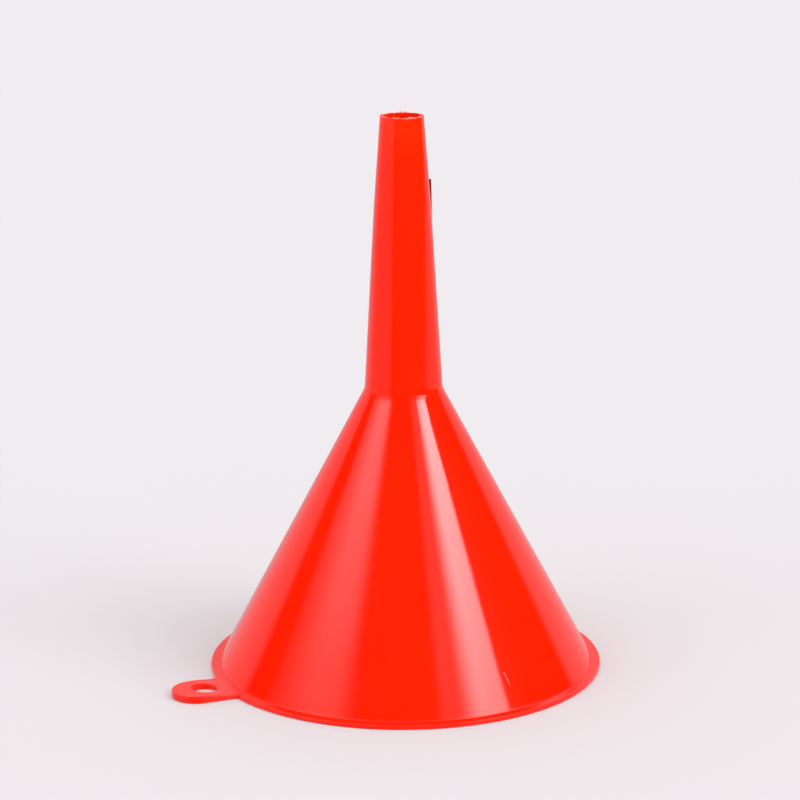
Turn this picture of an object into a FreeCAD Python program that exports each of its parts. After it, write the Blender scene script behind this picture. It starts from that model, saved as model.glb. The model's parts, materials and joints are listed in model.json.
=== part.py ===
import FreeCAD, Part
import math
import os
from collections import namedtuple
import Sketcher

# A plain plastic funnel, standing mouth down on its rim.
# Millimetres. +Z runs from the mouth to the outlet, and the origin is the centre of the mouth,
# in the plane that the rim rests on. The hanging tab points along -X and the vent rib along +X.
# The funnel is one injection moulding. It is split here where its form changes, into solids
# that meet face to face: rim, bowl, neck, spout barrel, outlet nose, vent rib and hanging tab.

DIMENSIONS = [
    ("rim_diameter", 120.0, "outside of the flat rim round the mouth"),
    ("rim_thickness", 1.4, "flat rim, measured along the axis"),
    ("foot_diameter", 115.0, "outside of the bowl where it rises from the rim"),
    ("foot_wall", 1.45, "bowl wall at the rim, measured square to the axis"),
    ("foot_fillet", 0.5, "concave round between the rim and the bowl"),
    ("foot_band", 2.4, "height at which the rim ring ends and the bowl wall starts"),
    ("neck_height", 87.2, "height at which the lines of the bowl and the spout cross"),
    ("neck_diameter", 23.6, "outside at that crossing, before blending"),
    ("neck_wall", 1.35, "wall at the neck, measured square to the axis"),
    ("neck_blend", 6.0, "radius that blends the bowl into the spout"),
    ("collar_reach", 3.0, "length of the neck collar above and below the crossing"),
    ("shoulder_height", 142.5, "height at which the spout's taper gets steeper"),
    ("shoulder_diameter", 17.1, "outside of the spout there"),
    ("shoulder_wall", 1.0, "wall there, measured square to the axis"),
    ("overall_height", 170.0, "from the mouth to the outlet"),
    ("outlet_diameter", 13.0, "outside of the outlet"),
    ("outlet_wall", 0.7, "wall at the outlet"),
    ("rib_thickness", 1.2, "vent rib, from side to side"),
    ("rib_top", 150.5, "height at which the rib starts on the spout"),
    ("rib_corner_height", 150.2, "height of the rib's outer top corner"),
    ("rib_corner_reach", 9.4, "distance of that corner from the axis"),
    ("rib_foot_height", 106.0, "height of the lower end of the rib's outer edge, inside the wall"),
    ("rib_foot_reach", 10.3, "distance of that end from the axis"),
    ("rib_root_reach", 6.0, "start of the rib blank, well inside the spout"),
    ("tab_root_half_width", 8.2, "half of the tab's width where it leaves the rim"),
    ("tab_end_centre", 69.2, "centre of the tab's round end, from the axis"),
    ("tab_end_radius", 7.6, "round end of the tab"),
    ("tab_end_thickness", 2.1, "tab at its outer end; it starts as thick as the rim"),
    ("hang_hole_centre", 66.8, "centre of the hanging hole, from the axis"),
    ("hang_hole_diameter", 8.0, "hanging hole"),
    ("cut_past", 2.0, "how far a cutting outline runs past what it trims"),
]


def fill_sheet(doc):
    """Write each driving dimension on a row of its own: its name, its value and what it measures."""
    sheet = doc.addObject("Spreadsheet::Sheet", "Dimensions")
    for row, (alias, value, meaning) in enumerate(DIMENSIONS, start=1):
        sheet.set("A%d" % row, alias)
        sheet.set("B%d" % row, str(value))
        sheet.set("C%d" % row, meaning)
        sheet.setAlias("B%d" % row, alias)
    doc.recompute()


def size(alias):
    """The way an expression names a cell of the sheet."""
    return "Dimensions." + alias


Station = namedtuple("Station", "height outer inner")


def station(height, diameter, wall):
    """A level of the funnel: expressions for its height and for the radii of its two surfaces."""
    outer = size(diameter) + " / 2"
    return Station(size(height), outer, "(%s - %s)" % (outer, size(wall)))


FOOT = station("rim_thickness", "foot_diameter", "foot_wall")
NECK = station("neck_height", "neck_diameter", "neck_wall")
SHOULDER = station("shoulder_height", "shoulder_diameter", "shoulder_wall")
OUTLET = station("overall_height", "outlet_diameter", "outlet_wall")

RIM_RADIUS = size("rim_diameter") + " / 2"
COLLAR_BOTTOM = "%s - %s" % (size("neck_height"), size("collar_reach"))
COLLAR_TOP = "%s + %s" % (size("neck_height"), size("collar_reach"))


def line_radius(height, low, high, surface):
    """Expression for the radius of a surface at a height, on the straight line between two stations."""
    start = getattr(low, surface)
    end = getattr(high, surface)
    share = "((%s) - %s) / (%s - %s)" % (height, low.height, high.height, low.height)
    return "%s + (%s - %s) * %s" % (start, end, start, share)


def new_body(doc, label):
    body = doc.addObject("PartDesign::Body", label)
    body.Label = label
    return body


def plane_sketch(body, name, role):
    """A sketch on one of the body's own origin planes."""
    plane = [feature for feature in body.Origin.OriginFeatures if feature.Role == role][0]
    sketch = body.newObject("Sketcher::SketchObject", name)
    sketch.AttachmentSupport = (plane, [""])
    sketch.MapMode = "FlatFace"
    return sketch


def value_of(thing, expression):
    """The number that an expression gives now, in millimetres."""
    return float(thing.evalExpression(expression))


def bind_point(sketch, geometry, end, corner):
    """Hold a point at the distances from the sketch's origin that two expressions give."""
    for kind, axis, expression in (("DistanceX", -2, corner[0]), ("DistanceY", -1, corner[1])):
        if expression == "0":
            sketch.addConstraint(Sketcher.Constraint("PointOnObject", geometry, end, axis))
            continue
        distance = value_of(sketch, expression)
        number = sketch.addConstraint(Sketcher.Constraint(kind, -1, 1, geometry, end, distance))
        sketch.setExpression("Constraints[%d]" % number, expression)


def straight_outline(sketch, corners):
    """Join corners, given as pairs of expressions, into a closed outline of straight edges."""
    points = [FreeCAD.Vector(value_of(sketch, x), value_of(sketch, y), 0) for x, y in corners]
    count = len(corners)
    for index in range(count):
        sketch.addGeometry(Part.LineSegment(points[index], points[(index + 1) % count]), False)
    for index in range(count):
        sketch.addConstraint(Sketcher.Constraint("Coincident", index, 2, (index + 1) % count, 1))
    for index, corner in enumerate(corners):
        bind_point(sketch, index, 1, corner)


def turned(body, section):
    """Turn a section, given in radius and height above the body's seat, all the way round the axis."""
    sketch = plane_sketch(body, body.Label + "_section", "XZ_Plane")
    straight_outline(sketch, section)
    turn = body.newObject("PartDesign::Revolution", body.Label + "_turn")
    turn.Profile = sketch
    turn.ReferenceAxis = (sketch, ["V_Axis"])
    turn.Angle = 360
    body.Document.recompute()
    return turn


def ring_edges(shape, places):
    """Names of the circular edges at the given (radius, height) places."""
    names = []
    for number, edge in enumerate(shape.Edges, start=1):
        if not isinstance(edge.Curve, Part.Circle):
            continue
        for radius, height in places:
            if abs(edge.Curve.Radius - radius) < 1e-4 and abs(edge.Curve.Center.z - height) < 1e-4:
                names.append("Edge%d" % number)
    return names


def round_rings(body, base, places, alias):
    """Fillet the circular edges at places, which are (radius, height) pairs of expressions."""
    spots = [(value_of(base, radius), value_of(base, height)) for radius, height in places]
    names = ring_edges(base.Shape, spots)
    if len(names) != len(places):
        raise RuntimeError("%s: found %d of %d edges to round" % (body.Label, len(names), len(places)))
    fillet = body.newObject("PartDesign::Fillet", body.Label + "_round")
    fillet.Base = (base, names)
    fillet.setExpression("Radius", size(alias))
    body.Document.recompute()


def seat(body, height):
    """Stand the body on the axis at the given height."""
    body.Placement = FreeCAD.Placement(FreeCAD.Vector(0, 0, 0), FreeCAD.Rotation())
    body.setExpression("Placement.Base.z", height)


def make_rim_flange(doc):
    """Flat ring that the mouth rests on, with the first stretch of the bowl wall and its root fillet."""
    body = new_body(doc, "rim_flange")
    band = size("foot_band")
    crease = (FOOT.outer, FOOT.height)
    turn = turned(body, [
        (line_radius("0", FOOT, NECK, "inner"), "0"),
        (RIM_RADIUS, "0"),
        (RIM_RADIUS, size("rim_thickness")),
        crease,
        (line_radius(band, FOOT, NECK, "outer"), band),
        (line_radius(band, FOOT, NECK, "inner"), band),
    ])
    round_rings(body, turn, [crease], "foot_fillet")
    return body


def make_wall(doc, label, bottom, top, low, high):
    """Straight-walled length of the funnel from one height to another, between stations low and high."""
    body = new_body(doc, label)
    length = "(%s) - (%s)" % (top, bottom)
    turned(body, [
        (line_radius(bottom, low, high, "inner"), "0"),
        (line_radius(bottom, low, high, "outer"), "0"),
        (line_radius(top, low, high, "outer"), length),
        (line_radius(top, low, high, "inner"), length),
    ])
    seat(body, bottom)
    return body


def make_neck_collar(doc):
    """Ring where the bowl's line turns into the spout's, blended inside and outside."""
    body = new_body(doc, "neck_collar")
    reach = size("collar_reach")
    outer_crossing = (NECK.outer, reach)
    inner_crossing = (NECK.inner, reach)
    turn = turned(body, [
        (line_radius(COLLAR_BOTTOM, FOOT, NECK, "inner"), "0"),
        (line_radius(COLLAR_BOTTOM, FOOT, NECK, "outer"), "0"),
        outer_crossing,
        (line_radius(COLLAR_TOP, NECK, SHOULDER, "outer"), "2 * " + reach),
        (line_radius(COLLAR_TOP, NECK, SHOULDER, "inner"), "2 * " + reach),
        inner_crossing,
    ])
    round_rings(body, turn, [outer_crossing, inner_crossing], "neck_blend")
    seat(body, COLLAR_BOTTOM)
    return body


def make_vent_rib(doc):
    """Thin fin on the outside of the spout: a plate, trimmed to the spout's surface."""
    body = new_body(doc, "vent_rib")
    foot = size("rib_foot_height")
    top = size("rib_top")
    blank = plane_sketch(body, "vent_rib_blank", "XZ_Plane")
    straight_outline(blank, [
        (size("rib_root_reach"), foot),
        (size("rib_foot_reach"), foot),
        (size("rib_corner_reach"), size("rib_corner_height")),
        (line_radius(top, SHOULDER, OUTLET, "outer"), top),
        (size("rib_root_reach"), top),
    ])
    plate = body.newObject("PartDesign::Pad", "vent_rib_plate")
    plate.Profile = blank
    plate.SideType = "Symmetric"
    plate.setExpression("Length", size("rib_thickness"))
    doc.recompute()

    low = "%s - %s" % (foot, size("cut_past"))
    high = "%s + %s" % (top, size("cut_past"))
    spout = plane_sketch(body, "vent_rib_spout", "XZ_Plane")
    straight_outline(spout, [
        ("0", low),
        (line_radius(low, NECK, SHOULDER, "outer"), low),
        (SHOULDER.outer, SHOULDER.height),
        (line_radius(high, SHOULDER, OUTLET, "outer"), high),
        ("0", high),
    ])
    trim = body.newObject("PartDesign::Groove", "vent_rib_trim")
    trim.Profile = spout
    trim.ReferenceAxis = (spout, ["V_Axis"])
    trim.Angle = 360
    doc.recompute()
    expect_cut(trim, plate)
    return body


def bind_length(sketch, kind, place, expression):
    """Add a Radius or a distance constraint on the given geometry, held to an expression."""
    number = sketch.addConstraint(Sketcher.Constraint(kind, *place, value_of(sketch, expression)))
    sketch.setExpression("Constraints[%d]" % number, expression)


def draw_tab_outline(sketch):
    """Tab from above: the rim's own arc, two straight sides tangent to the round end, and the hole."""
    rim_radius = value_of(sketch, RIM_RADIUS)
    half_width = value_of(sketch, size("tab_root_half_width"))
    end_radius = value_of(sketch, size("tab_end_radius"))
    hole_radius = value_of(sketch, size("hang_hole_diameter")) / 2
    end_centre = FreeCAD.Vector(value_of(sketch, size("tab_end_centre")), 0, 0)
    hole_centre = FreeCAD.Vector(value_of(sketch, size("hang_hole_centre")), 0, 0)
    rim_centre = FreeCAD.Vector(0, 0, 0)
    normal = FreeCAD.Vector(0, 0, 1)
    root_angle = math.asin(half_width / rim_radius)
    left_root = FreeCAD.Vector(rim_radius * math.cos(root_angle), half_width, 0)
    right_root = FreeCAD.Vector(left_root.x, -half_width, 0)
    left_end = end_centre + FreeCAD.Vector(0, end_radius, 0)
    right_end = end_centre - FreeCAD.Vector(0, end_radius, 0)

    rim_circle = Part.Circle(rim_centre, normal, rim_radius)
    end_circle = Part.Circle(end_centre, normal, end_radius)
    root = sketch.addGeometry(Part.ArcOfCircle(rim_circle, -root_angle, root_angle), False)
    left = sketch.addGeometry(Part.LineSegment(left_root, left_end), False)
    end = sketch.addGeometry(Part.ArcOfCircle(end_circle, -math.pi / 2, math.pi / 2), False)
    right = sketch.addGeometry(Part.LineSegment(right_end, right_root), False)
    hole = sketch.addGeometry(Part.Circle(hole_centre, normal, hole_radius), False)

    sketch.addConstraint(Sketcher.Constraint("Coincident", root, 3, -1, 1))
    sketch.addConstraint(Sketcher.Constraint("Coincident", root, 2, left, 1))
    sketch.addConstraint(Sketcher.Constraint("Coincident", right, 2, root, 1))
    sketch.addConstraint(Sketcher.Constraint("Symmetric", root, 1, root, 2, -1))
    sketch.addConstraint(Sketcher.Constraint("Tangent", left, 2, end, 2))
    sketch.addConstraint(Sketcher.Constraint("Tangent", end, 1, right, 1))
    bind_point(sketch, end, 3, (size("tab_end_centre"), "0"))
    bind_point(sketch, hole, 3, (size("hang_hole_centre"), "0"))
    bind_length(sketch, "Radius", (root,), RIM_RADIUS)
    bind_length(sketch, "Radius", (end,), size("tab_end_radius"))
    bind_length(sketch, "Radius", (hole,), size("hang_hole_diameter") + " / 2")
    bind_length(sketch, "DistanceY", (-1, 1, left, 1), size("tab_root_half_width"))


def make_hanging_tab(doc):
    """Flat tab with the hanging hole. It lies on the rest plane and thickens towards its round end."""
    body = new_body(doc, "hanging_tab")
    outline = plane_sketch(body, "hanging_tab_outline", "XY_Plane")
    draw_tab_outline(outline)
    plate = body.newObject("PartDesign::Pad", "hanging_tab_plate")
    plate.Profile = outline
    plate.setExpression("Length", size("tab_end_thickness"))
    doc.recompute()

    end = "%s + %s" % (size("tab_end_centre"), size("tab_end_radius"))
    above = "%s + %s" % (size("tab_end_thickness"), size("cut_past"))
    inside = "%s - %s" % (RIM_RADIUS, size("cut_past"))
    slope = plane_sketch(body, "hanging_tab_slope", "XZ_Plane")
    straight_outline(slope, [
        (inside, size("rim_thickness")),
        (RIM_RADIUS, size("rim_thickness")),
        (end, size("tab_end_thickness")),
        (end, above),
        (inside, above),
    ])
    planed = body.newObject("PartDesign::Pocket", "hanging_tab_planed")
    planed.Profile = slope
    planed.Type = "ThroughAll"
    planed.SideType = "Symmetric"
    doc.recompute()
    expect_cut(planed, plate)
    half_turn = FreeCAD.Rotation(FreeCAD.Vector(0, 0, 1), 180)
    body.Placement = FreeCAD.Placement(FreeCAD.Vector(0, 0, 0), half_turn)
    return body


def expect_cut(after, before):
    """A cut that points the wrong way removes nothing and reports no error, so compare the volumes."""
    if not after.Shape.Volume < before.Shape.Volume - 1e-3:
        raise RuntimeError("%s removed nothing" % after.Name)


def check_document(doc, bodies):
    for thing in doc.Objects:
        if "Invalid" in thing.State or "Error" in thing.State:
            raise RuntimeError("%s failed: %s" % (thing.Name, thing.State))
    for body in bodies:
        if body.Shape.isNull() or not body.Shape.isValid() or len(body.Shape.Solids) != 1:
            raise RuntimeError("%s is not one valid solid" % body.Label)


def main():
    doc = FreeCAD.newDocument("Funnel")
    fill_sheet(doc)
    bodies = [
        make_rim_flange(doc),
        make_wall(doc, "bowl_cone", size("foot_band"), COLLAR_BOTTOM, FOOT, NECK),
        make_neck_collar(doc),
        make_wall(doc, "spout_barrel", COLLAR_TOP, SHOULDER.height, NECK, SHOULDER),
        make_wall(doc, "outlet_nose", SHOULDER.height, OUTLET.height, SHOULDER, OUTLET),
        make_vent_rib(doc),
        make_hanging_tab(doc),
    ]
    doc.recompute()
    check_document(doc, bodies)

    os.makedirs("parts", exist_ok=True)
    for body in bodies:
        body.Shape.exportStep(os.path.join("parts", body.Label + ".step"))
        box = body.Shape.BoundBox
        print("%-13s %9.1f mm3  x %.2f..%.2f  y %.2f..%.2f  z %.2f..%.2f" % (
            body.Label, body.Shape.Volume, box.XMin, box.XMax, box.YMin, box.YMax, box.ZMin, box.ZMax))


main()
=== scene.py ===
import json
import math

import bpy
import numpy as np
from mathutils import Matrix, Vector, noise


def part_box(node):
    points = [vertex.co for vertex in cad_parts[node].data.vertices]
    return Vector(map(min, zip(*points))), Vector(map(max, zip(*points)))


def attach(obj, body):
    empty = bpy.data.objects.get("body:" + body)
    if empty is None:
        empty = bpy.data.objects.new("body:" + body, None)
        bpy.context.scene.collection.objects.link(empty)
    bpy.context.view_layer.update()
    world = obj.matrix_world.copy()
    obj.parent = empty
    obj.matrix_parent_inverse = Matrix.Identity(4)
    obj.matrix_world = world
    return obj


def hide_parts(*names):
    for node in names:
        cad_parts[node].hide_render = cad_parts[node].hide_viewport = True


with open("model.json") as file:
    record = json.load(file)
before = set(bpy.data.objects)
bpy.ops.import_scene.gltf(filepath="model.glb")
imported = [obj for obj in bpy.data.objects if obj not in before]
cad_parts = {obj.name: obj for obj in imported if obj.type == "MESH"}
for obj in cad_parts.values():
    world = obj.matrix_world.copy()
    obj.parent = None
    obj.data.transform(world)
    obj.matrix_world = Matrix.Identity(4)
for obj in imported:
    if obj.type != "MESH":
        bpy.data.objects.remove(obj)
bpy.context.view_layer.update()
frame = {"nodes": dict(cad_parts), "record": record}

# A plain red plastic funnel standing mouth down on its rim. Lengths are in metres.
# The funnel is one moulding, so its walls are modelled as one turned shell with one set of
# normals. The shell is then parted into the same pieces as the CAD nodes, which meet face to face.

MM = 0.001
BODY = "root"

# Rounds and details that the CAD leaves to the looks.
RIM_EDGE_ROUND = 0.22 * MM
MOUTH_EDGE_ROUND = 0.25 * MM
FOOT_ROUND = 0.08 * MM
NECK_ROUND = 6.0 * MM
LIP_ROUND = 0.12 * MM
ARC_STEP_DEGREES = 11.0
WALL_STEP = 1.1 * MM
AROUND = 420
SAME_LEVEL = 0.01 * MM

# The tab. Its edge rounds run out where its sides meet the rim.
TAB_END_RADIUS = 7.6 * MM
TAB_EDGE_ROUND = 0.35 * MM
TAB_ROUND_RUNS_OUT = 2.0 * MM
TAB_HOLE_EDGE_ROUND = 0.22 * MM
TAB_KEEP_IN_RIM = 1.4 * MM
TAB_NOTCH_COLUMNS = 24
TAB_CUT_STEPS = 4
TAB_SIDE_STEPS = 20
TAB_END_STEPS = 26
TAB_RINGS = 10
ROUND_STEPS = 6

# Moulding unevenness of the walls, and the uneven cut of the lip.
WAVE_DEPTH = 0.02 * MM
WAVE_SIZE = 22 * MM
DRAW_MARK_DEPTH = 0.006 * MM
DRAW_MARKS_AROUND = 9.0
LIP_RAG_DEPTH = 0.28 * MM
LIP_RAG_REACH = 0.9 * MM
LIP_RAGS_AROUND = 5.0
LIP_PATTERN = 0.37

# The camera. Its angles are in degrees.
CAMERA_AZIMUTH = -25.4
CAMERA_DISTANCE = 0.8541
CAMERA_RISE = 19.435
CAMERA_TILT = 14.004
CAMERA_YAW = -0.081
CAMERA_ROLL = -0.415
CAMERA_LENS_MM = 123.38
CAMERA_SENSOR_MM = 36.0


# ---------------------------------------------------------------- sizes read from the frame


def node_points(node):
    """The vertices of a CAD node's mesh."""
    return np.array([vertex.co for vertex in frame["nodes"][node].data.vertices])


def ring_radii(node, height):
    """Inner and outer radius of a node at one of its own levels."""
    points = node_points(node)
    ring = points[np.abs(points[:, 2] - height) < SAME_LEVEL]
    reach = np.hypot(ring[:, 0], ring[:, 1])
    return reach.min(), reach.max()


class Line:
    """A straight stretch of the wall: its radius at any height."""

    def __init__(self, low_height, low_radius, high_height, high_radius):
        self.height = low_height
        self.radius = low_radius
        self.slope = (high_radius - low_radius) / (high_height - low_height)

    def at(self, height):
        return self.radius + self.slope * (height - self.height)

    def crossing(self, other):
        """Radius and height where this line meets another."""
        gap = other.at(self.height) - self.radius
        height = self.height + gap / (self.slope - other.slope)
        return self.at(height), height


def wall_lines(node):
    """The inner and the outer line of a tapered node, between its lowest and highest level."""
    low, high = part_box(node)
    low_radii = ring_radii(node, low.z)
    high_radii = ring_radii(node, high.z)
    return [Line(low.z, start, high.z, end) for start, end in zip(low_radii, high_radii)]


RIM_RADIUS = ring_radii("rim_flange", 0.0)[1]
RIM_POINTS = node_points("rim_flange")
ON_RIM_EDGE = np.hypot(RIM_POINTS[:, 0], RIM_POINTS[:, 1]) > RIM_RADIUS - SAME_LEVEL
RIM_THICKNESS = RIM_POINTS[ON_RIM_EDGE][:, 2].max()
FOOT_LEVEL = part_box("bowl_cone")[0].z
COLLAR_LEVELS = (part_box("neck_collar")[0].z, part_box("neck_collar")[1].z)
SHOULDER_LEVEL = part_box("outlet_nose")[0].z
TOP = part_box("outlet_nose")[1].z
CONE_IN, CONE_OUT = wall_lines("bowl_cone")
BARREL_IN, BARREL_OUT = wall_lines("spout_barrel")
NOSE_IN, NOSE_OUT = wall_lines("outlet_nose")
SEAM_LEVELS = (FOOT_LEVEL, COLLAR_LEVELS[0], COLLAR_LEVELS[1], SHOULDER_LEVEL)
# The two columns of an outline's points.
RADIUS, HEIGHT = 0, 1
HANG_HOLE = [mount for mount in frame["record"]["mounts"] if mount["name"] == "hang_hole"][0]


# ---------------------------------------------------------------- outlines and grids


def arc_at(corner, before, after, radius):
    """Points of the arc that rounds a corner between two straight runs."""
    to_before = (before - corner).normalized()
    to_after = (after - corner).normalized()
    half = to_before.angle(to_after) / 2
    centre = corner + (to_before + to_after).normalized() * (radius / math.sin(half))
    start = corner + to_before * (radius / math.tan(half)) - centre
    turn = start.angle_signed(corner + to_after * (radius / math.tan(half)) - centre)
    steps = max(2, math.ceil(abs(math.degrees(turn)) / ARC_STEP_DEGREES))
    return [centre + Matrix.Rotation(-turn * k / steps, 2) @ start for k in range(steps + 1)]


def rounded_outline(corners):
    """A closed outline of (radius, height) points from corners that each carry a round."""
    outline = []
    for k, (radius, height, edge_round) in enumerate(corners):
        corner = Vector((radius, height))
        if edge_round == 0:
            outline.append(corner)
            continue
        before = Vector(corners[k - 1][:2])
        after = Vector(corners[(k + 1) % len(corners)][:2])
        outline += arc_at(corner, before, after, edge_round)
    return outline


def run_stops(start, end, tab_cut_radius):
    """Shares of a straight run where it gets a point: even steps, piece seams and the tab's cut."""
    steps = max(1, math.ceil((end - start).length / WALL_STEP))
    stops = [k / steps for k in range(steps)]
    marks = [(HEIGHT, level) for level in SEAM_LEVELS] + [(RADIUS, tab_cut_radius)]
    for axis, value in marks:
        if (start[axis] - value) * (end[axis] - value) < 0:
            stops.append((value - start[axis]) / (end[axis] - start[axis]))
    return sorted(stops)


def shell_outline(tab_cut_radius):
    """The whole wall's section, starting inside at the foot seam: mouth, rim, outside, lip, inside."""
    corners = [
        (CONE_IN.at(0), 0, MOUTH_EDGE_ROUND),
        (RIM_RADIUS, 0, RIM_EDGE_ROUND),
        (RIM_RADIUS, RIM_THICKNESS, RIM_EDGE_ROUND),
        (CONE_OUT.at(RIM_THICKNESS), RIM_THICKNESS, FOOT_ROUND),
        (*CONE_OUT.crossing(BARREL_OUT), NECK_ROUND),
        (BARREL_OUT.at(SHOULDER_LEVEL), SHOULDER_LEVEL, 0),
        (NOSE_OUT.at(TOP), TOP, LIP_ROUND),
        (NOSE_IN.at(TOP), TOP, LIP_ROUND),
        (BARREL_IN.at(SHOULDER_LEVEL), SHOULDER_LEVEL, 0),
        (*CONE_IN.crossing(BARREL_IN), NECK_ROUND),
    ]
    outline = rounded_outline(corners)
    points = []
    for k, start in enumerate(outline):
        end = outline[(k + 1) % len(outline)]
        points += [start.lerp(end, share) for share in run_stops(start, end, tab_cut_radius)]
    inner_foot = max(k for k, p in enumerate(points) if abs(p.y - FOOT_LEVEL) < SAME_LEVEL)
    return np.array(points[inner_foot:] + points[:inner_foot])


def ease(value):
    """Smooth step from 0 to 1."""
    share = np.clip(value, 0.0, 1.0)
    return share * share * (3 - 2 * share)


def wave_at(point):
    """Slow unevenness of a moulded wall at a point, between -1 and 1."""
    return noise.noise(Vector(point) / WAVE_SIZE)


def ring_spot(angle, pattern=0.0):
    """Where noise is read for an angle, so that it closes round the axis. Each pattern differs."""
    return Vector((math.cos(angle), math.sin(angle), pattern))


def draw_mark_at(angle):
    """Marks that run along the wall, the way the moulding is drawn off its core."""
    spot = ring_spot(angle) * DRAW_MARKS_AROUND
    return noise.noise(spot) + 0.5 * noise.noise(spot * 2.3)


def lip_rag_at(angle):
    """Depth of the uneven trimmed edge of the outlet, between 0 and 1."""
    spot = ring_spot(angle, LIP_PATTERN) * LIP_RAGS_AROUND
    broad = noise.noise(spot * 0.35)
    fine = noise.noise(spot * 2.1)
    return min(1.0, max(0.0, 0.35 + 0.5 * broad + 0.45 * fine))


def around_grid(outline, angles):
    """Turns the outline round the axis and adds the moulding's unevenness. Shape: rows, angles, 3.

    The walls' unevenness fades in above the foot of the bowl. The lip's is a ragged cut at the top.
    """
    cos, sin = np.cos(angles), np.sin(angles)
    radius = outline[:, RADIUS][:, None]
    height = outline[:, HEIGHT][:, None]
    flat = np.ones_like(angles)[None, :]
    grid = np.stack([radius * cos, radius * sin, height * flat], axis=2)
    run = np.roll(outline, -1, axis=0) - np.roll(outline, 1, axis=0)
    run /= np.linalg.norm(run, axis=1)[:, None]
    out_radius, out_height = run[:, 1], -run[:, 0]
    marks = np.array([draw_mark_at(angle) for angle in angles])
    rags = np.array([lip_rag_at(angle) for angle in angles])
    for row in range(len(outline)):
        wall = ease((outline[row, HEIGHT] - 2 * FOOT_LEVEL) / (4 * FOOT_LEVEL))
        waves = np.array([wave_at(point) for point in grid[row]]) if wall > 0 else 0 * marks
        push = wall * (WAVE_DEPTH * waves + DRAW_MARK_DEPTH * marks)
        grid[row, :, 0] += push * out_radius[row] * cos
        grid[row, :, 1] += push * out_radius[row] * sin
        grid[row, :, 2] += push * out_height[row]
        trimmed = ease((outline[row, HEIGHT] - (TOP - LIP_RAG_REACH)) / LIP_RAG_REACH)
        grid[row, :, 2] -= trimmed * LIP_RAG_DEPTH * rags
    return grid


def grid_normals(grid):
    """Outward normals of a grid that closes both ways, from the runs to its neighbours."""
    along = np.roll(grid, -1, axis=0) - np.roll(grid, 1, axis=0)
    around = np.roll(grid, -1, axis=1) - np.roll(grid, 1, axis=1)
    normals = np.cross(around, along)
    return normals / np.linalg.norm(normals, axis=2)[..., None]


# ---------------------------------------------------------------- meshes from grids


class Skin:
    """Collects faces over grid vertices. A face is smooth, with the grid's normals, or a flat cut."""

    def __init__(self, points, normals):
        self.columns = points.shape[1]
        self.points = points.reshape(-1, 3)
        self.normals = normals.reshape(-1, 3)
        self.faces = []
        self.cuts = []

    def corner(self, row, column):
        return row * self.columns + column % self.columns

    def quad(self, row, next_row, column, cut=False):
        """The face between two rows and between a column and the next."""
        self.faces.append([
            self.corner(row, column),
            self.corner(row, column + 1),
            self.corner(next_row, column + 1),
            self.corner(next_row, column),
        ])
        self.cuts.append(cut)

    def polygon(self, corners):
        self.faces.append(corners)
        self.cuts.append(True)

    def make(self, name, material):
        """Builds the object, with only the vertices that its faces use."""
        used = sorted({corner for face in self.faces for corner in face})
        place = {corner: k for k, corner in enumerate(used)}
        faces = [[place[corner] for corner in face] for face in self.faces]
        mesh = bpy.data.meshes.new(name)
        mesh.from_pydata(self.points[used].tolist(), [], faces)
        mesh.polygons.foreach_set("use_smooth", [True] * len(faces))
        corner_normals = []
        for polygon, face, cut in zip(mesh.polygons, self.faces, self.cuts):
            flat = polygon.normal.copy()
            corner_normals += [flat if cut else self.normals[corner] for corner in face]
        mesh.normals_split_custom_set(corner_normals)
        mesh.materials.append(material)
        piece = bpy.data.objects.new(name, mesh)
        bpy.context.scene.collection.objects.link(piece)
        return piece


def capped_tube(rings, flat_from=None):
    """A skin over rings of points, with flat ends. Its sides are flat from the column flat_from on."""
    grid = np.array(rings)
    skin = Skin(grid, grid_normals(grid))
    last, columns = grid.shape[0] - 1, grid.shape[1]
    for row in range(last):
        for column in range(columns):
            skin.quad(row, row + 1, column, flat_from is not None and column >= flat_from)
    skin.polygon([skin.corner(0, column) for column in reversed(range(columns))])
    skin.polygon([skin.corner(last, column) for column in range(columns)])
    return skin


def stands_for(piece, node):
    """The piece takes a CAD node's place, and the node is hidden; the piece moves with the part's one body.
    """
    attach(piece, BODY)
    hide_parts(node)
    return piece


def rows_at(outline, axis, value):
    """The outline's rows at a radius or at a height, in order."""
    return [row for row, point in enumerate(outline) if abs(point[axis] - value) < SAME_LEVEL]


def seam_rows(outline, level):
    """The outside and the inside row at a seam's level."""
    rows = rows_at(outline, HEIGHT, level)
    return rows[0], rows[-1]


def wall_piece(name, grid, normals, rows, material):
    """One length of the shell. Steps between rows that aren't neighbours are cuts through the wall."""
    skin = Skin(grid, normals)
    for row, next_row in zip(rows, rows[1:] + rows[:1]):
        cut = (next_row - row) % len(grid) != 1
        for column in range(grid.shape[1]):
            skin.quad(row, next_row, column, cut)
    return stands_for(skin.make(name, material), name)


def rim_piece(grid, normals, rows, notch_rows, material):
    """The rim ring, with the notch that the tab's root fills."""
    name = "rim_flange"
    skin = Skin(grid, normals)
    bottom, top = notch_rows
    for row, next_row in zip(rows, rows[1:] + rows[:1]):
        cut = next_row != row + 1
        in_notch = bottom <= row < top
        first = TAB_NOTCH_COLUMNS if in_notch else 0
        for column in range(first, grid.shape[1]):
            skin.quad(row, next_row, column, cut)
    for column in range(TAB_NOTCH_COLUMNS):
        skin.quad(bottom, top, column, True)
    sides = range(bottom, top + 1)
    skin.polygon([skin.corner(row, 0) for row in reversed(sides)])
    skin.polygon([skin.corner(row, TAB_NOTCH_COLUMNS) for row in sides])
    return stands_for(skin.make(name, material), name)


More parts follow.
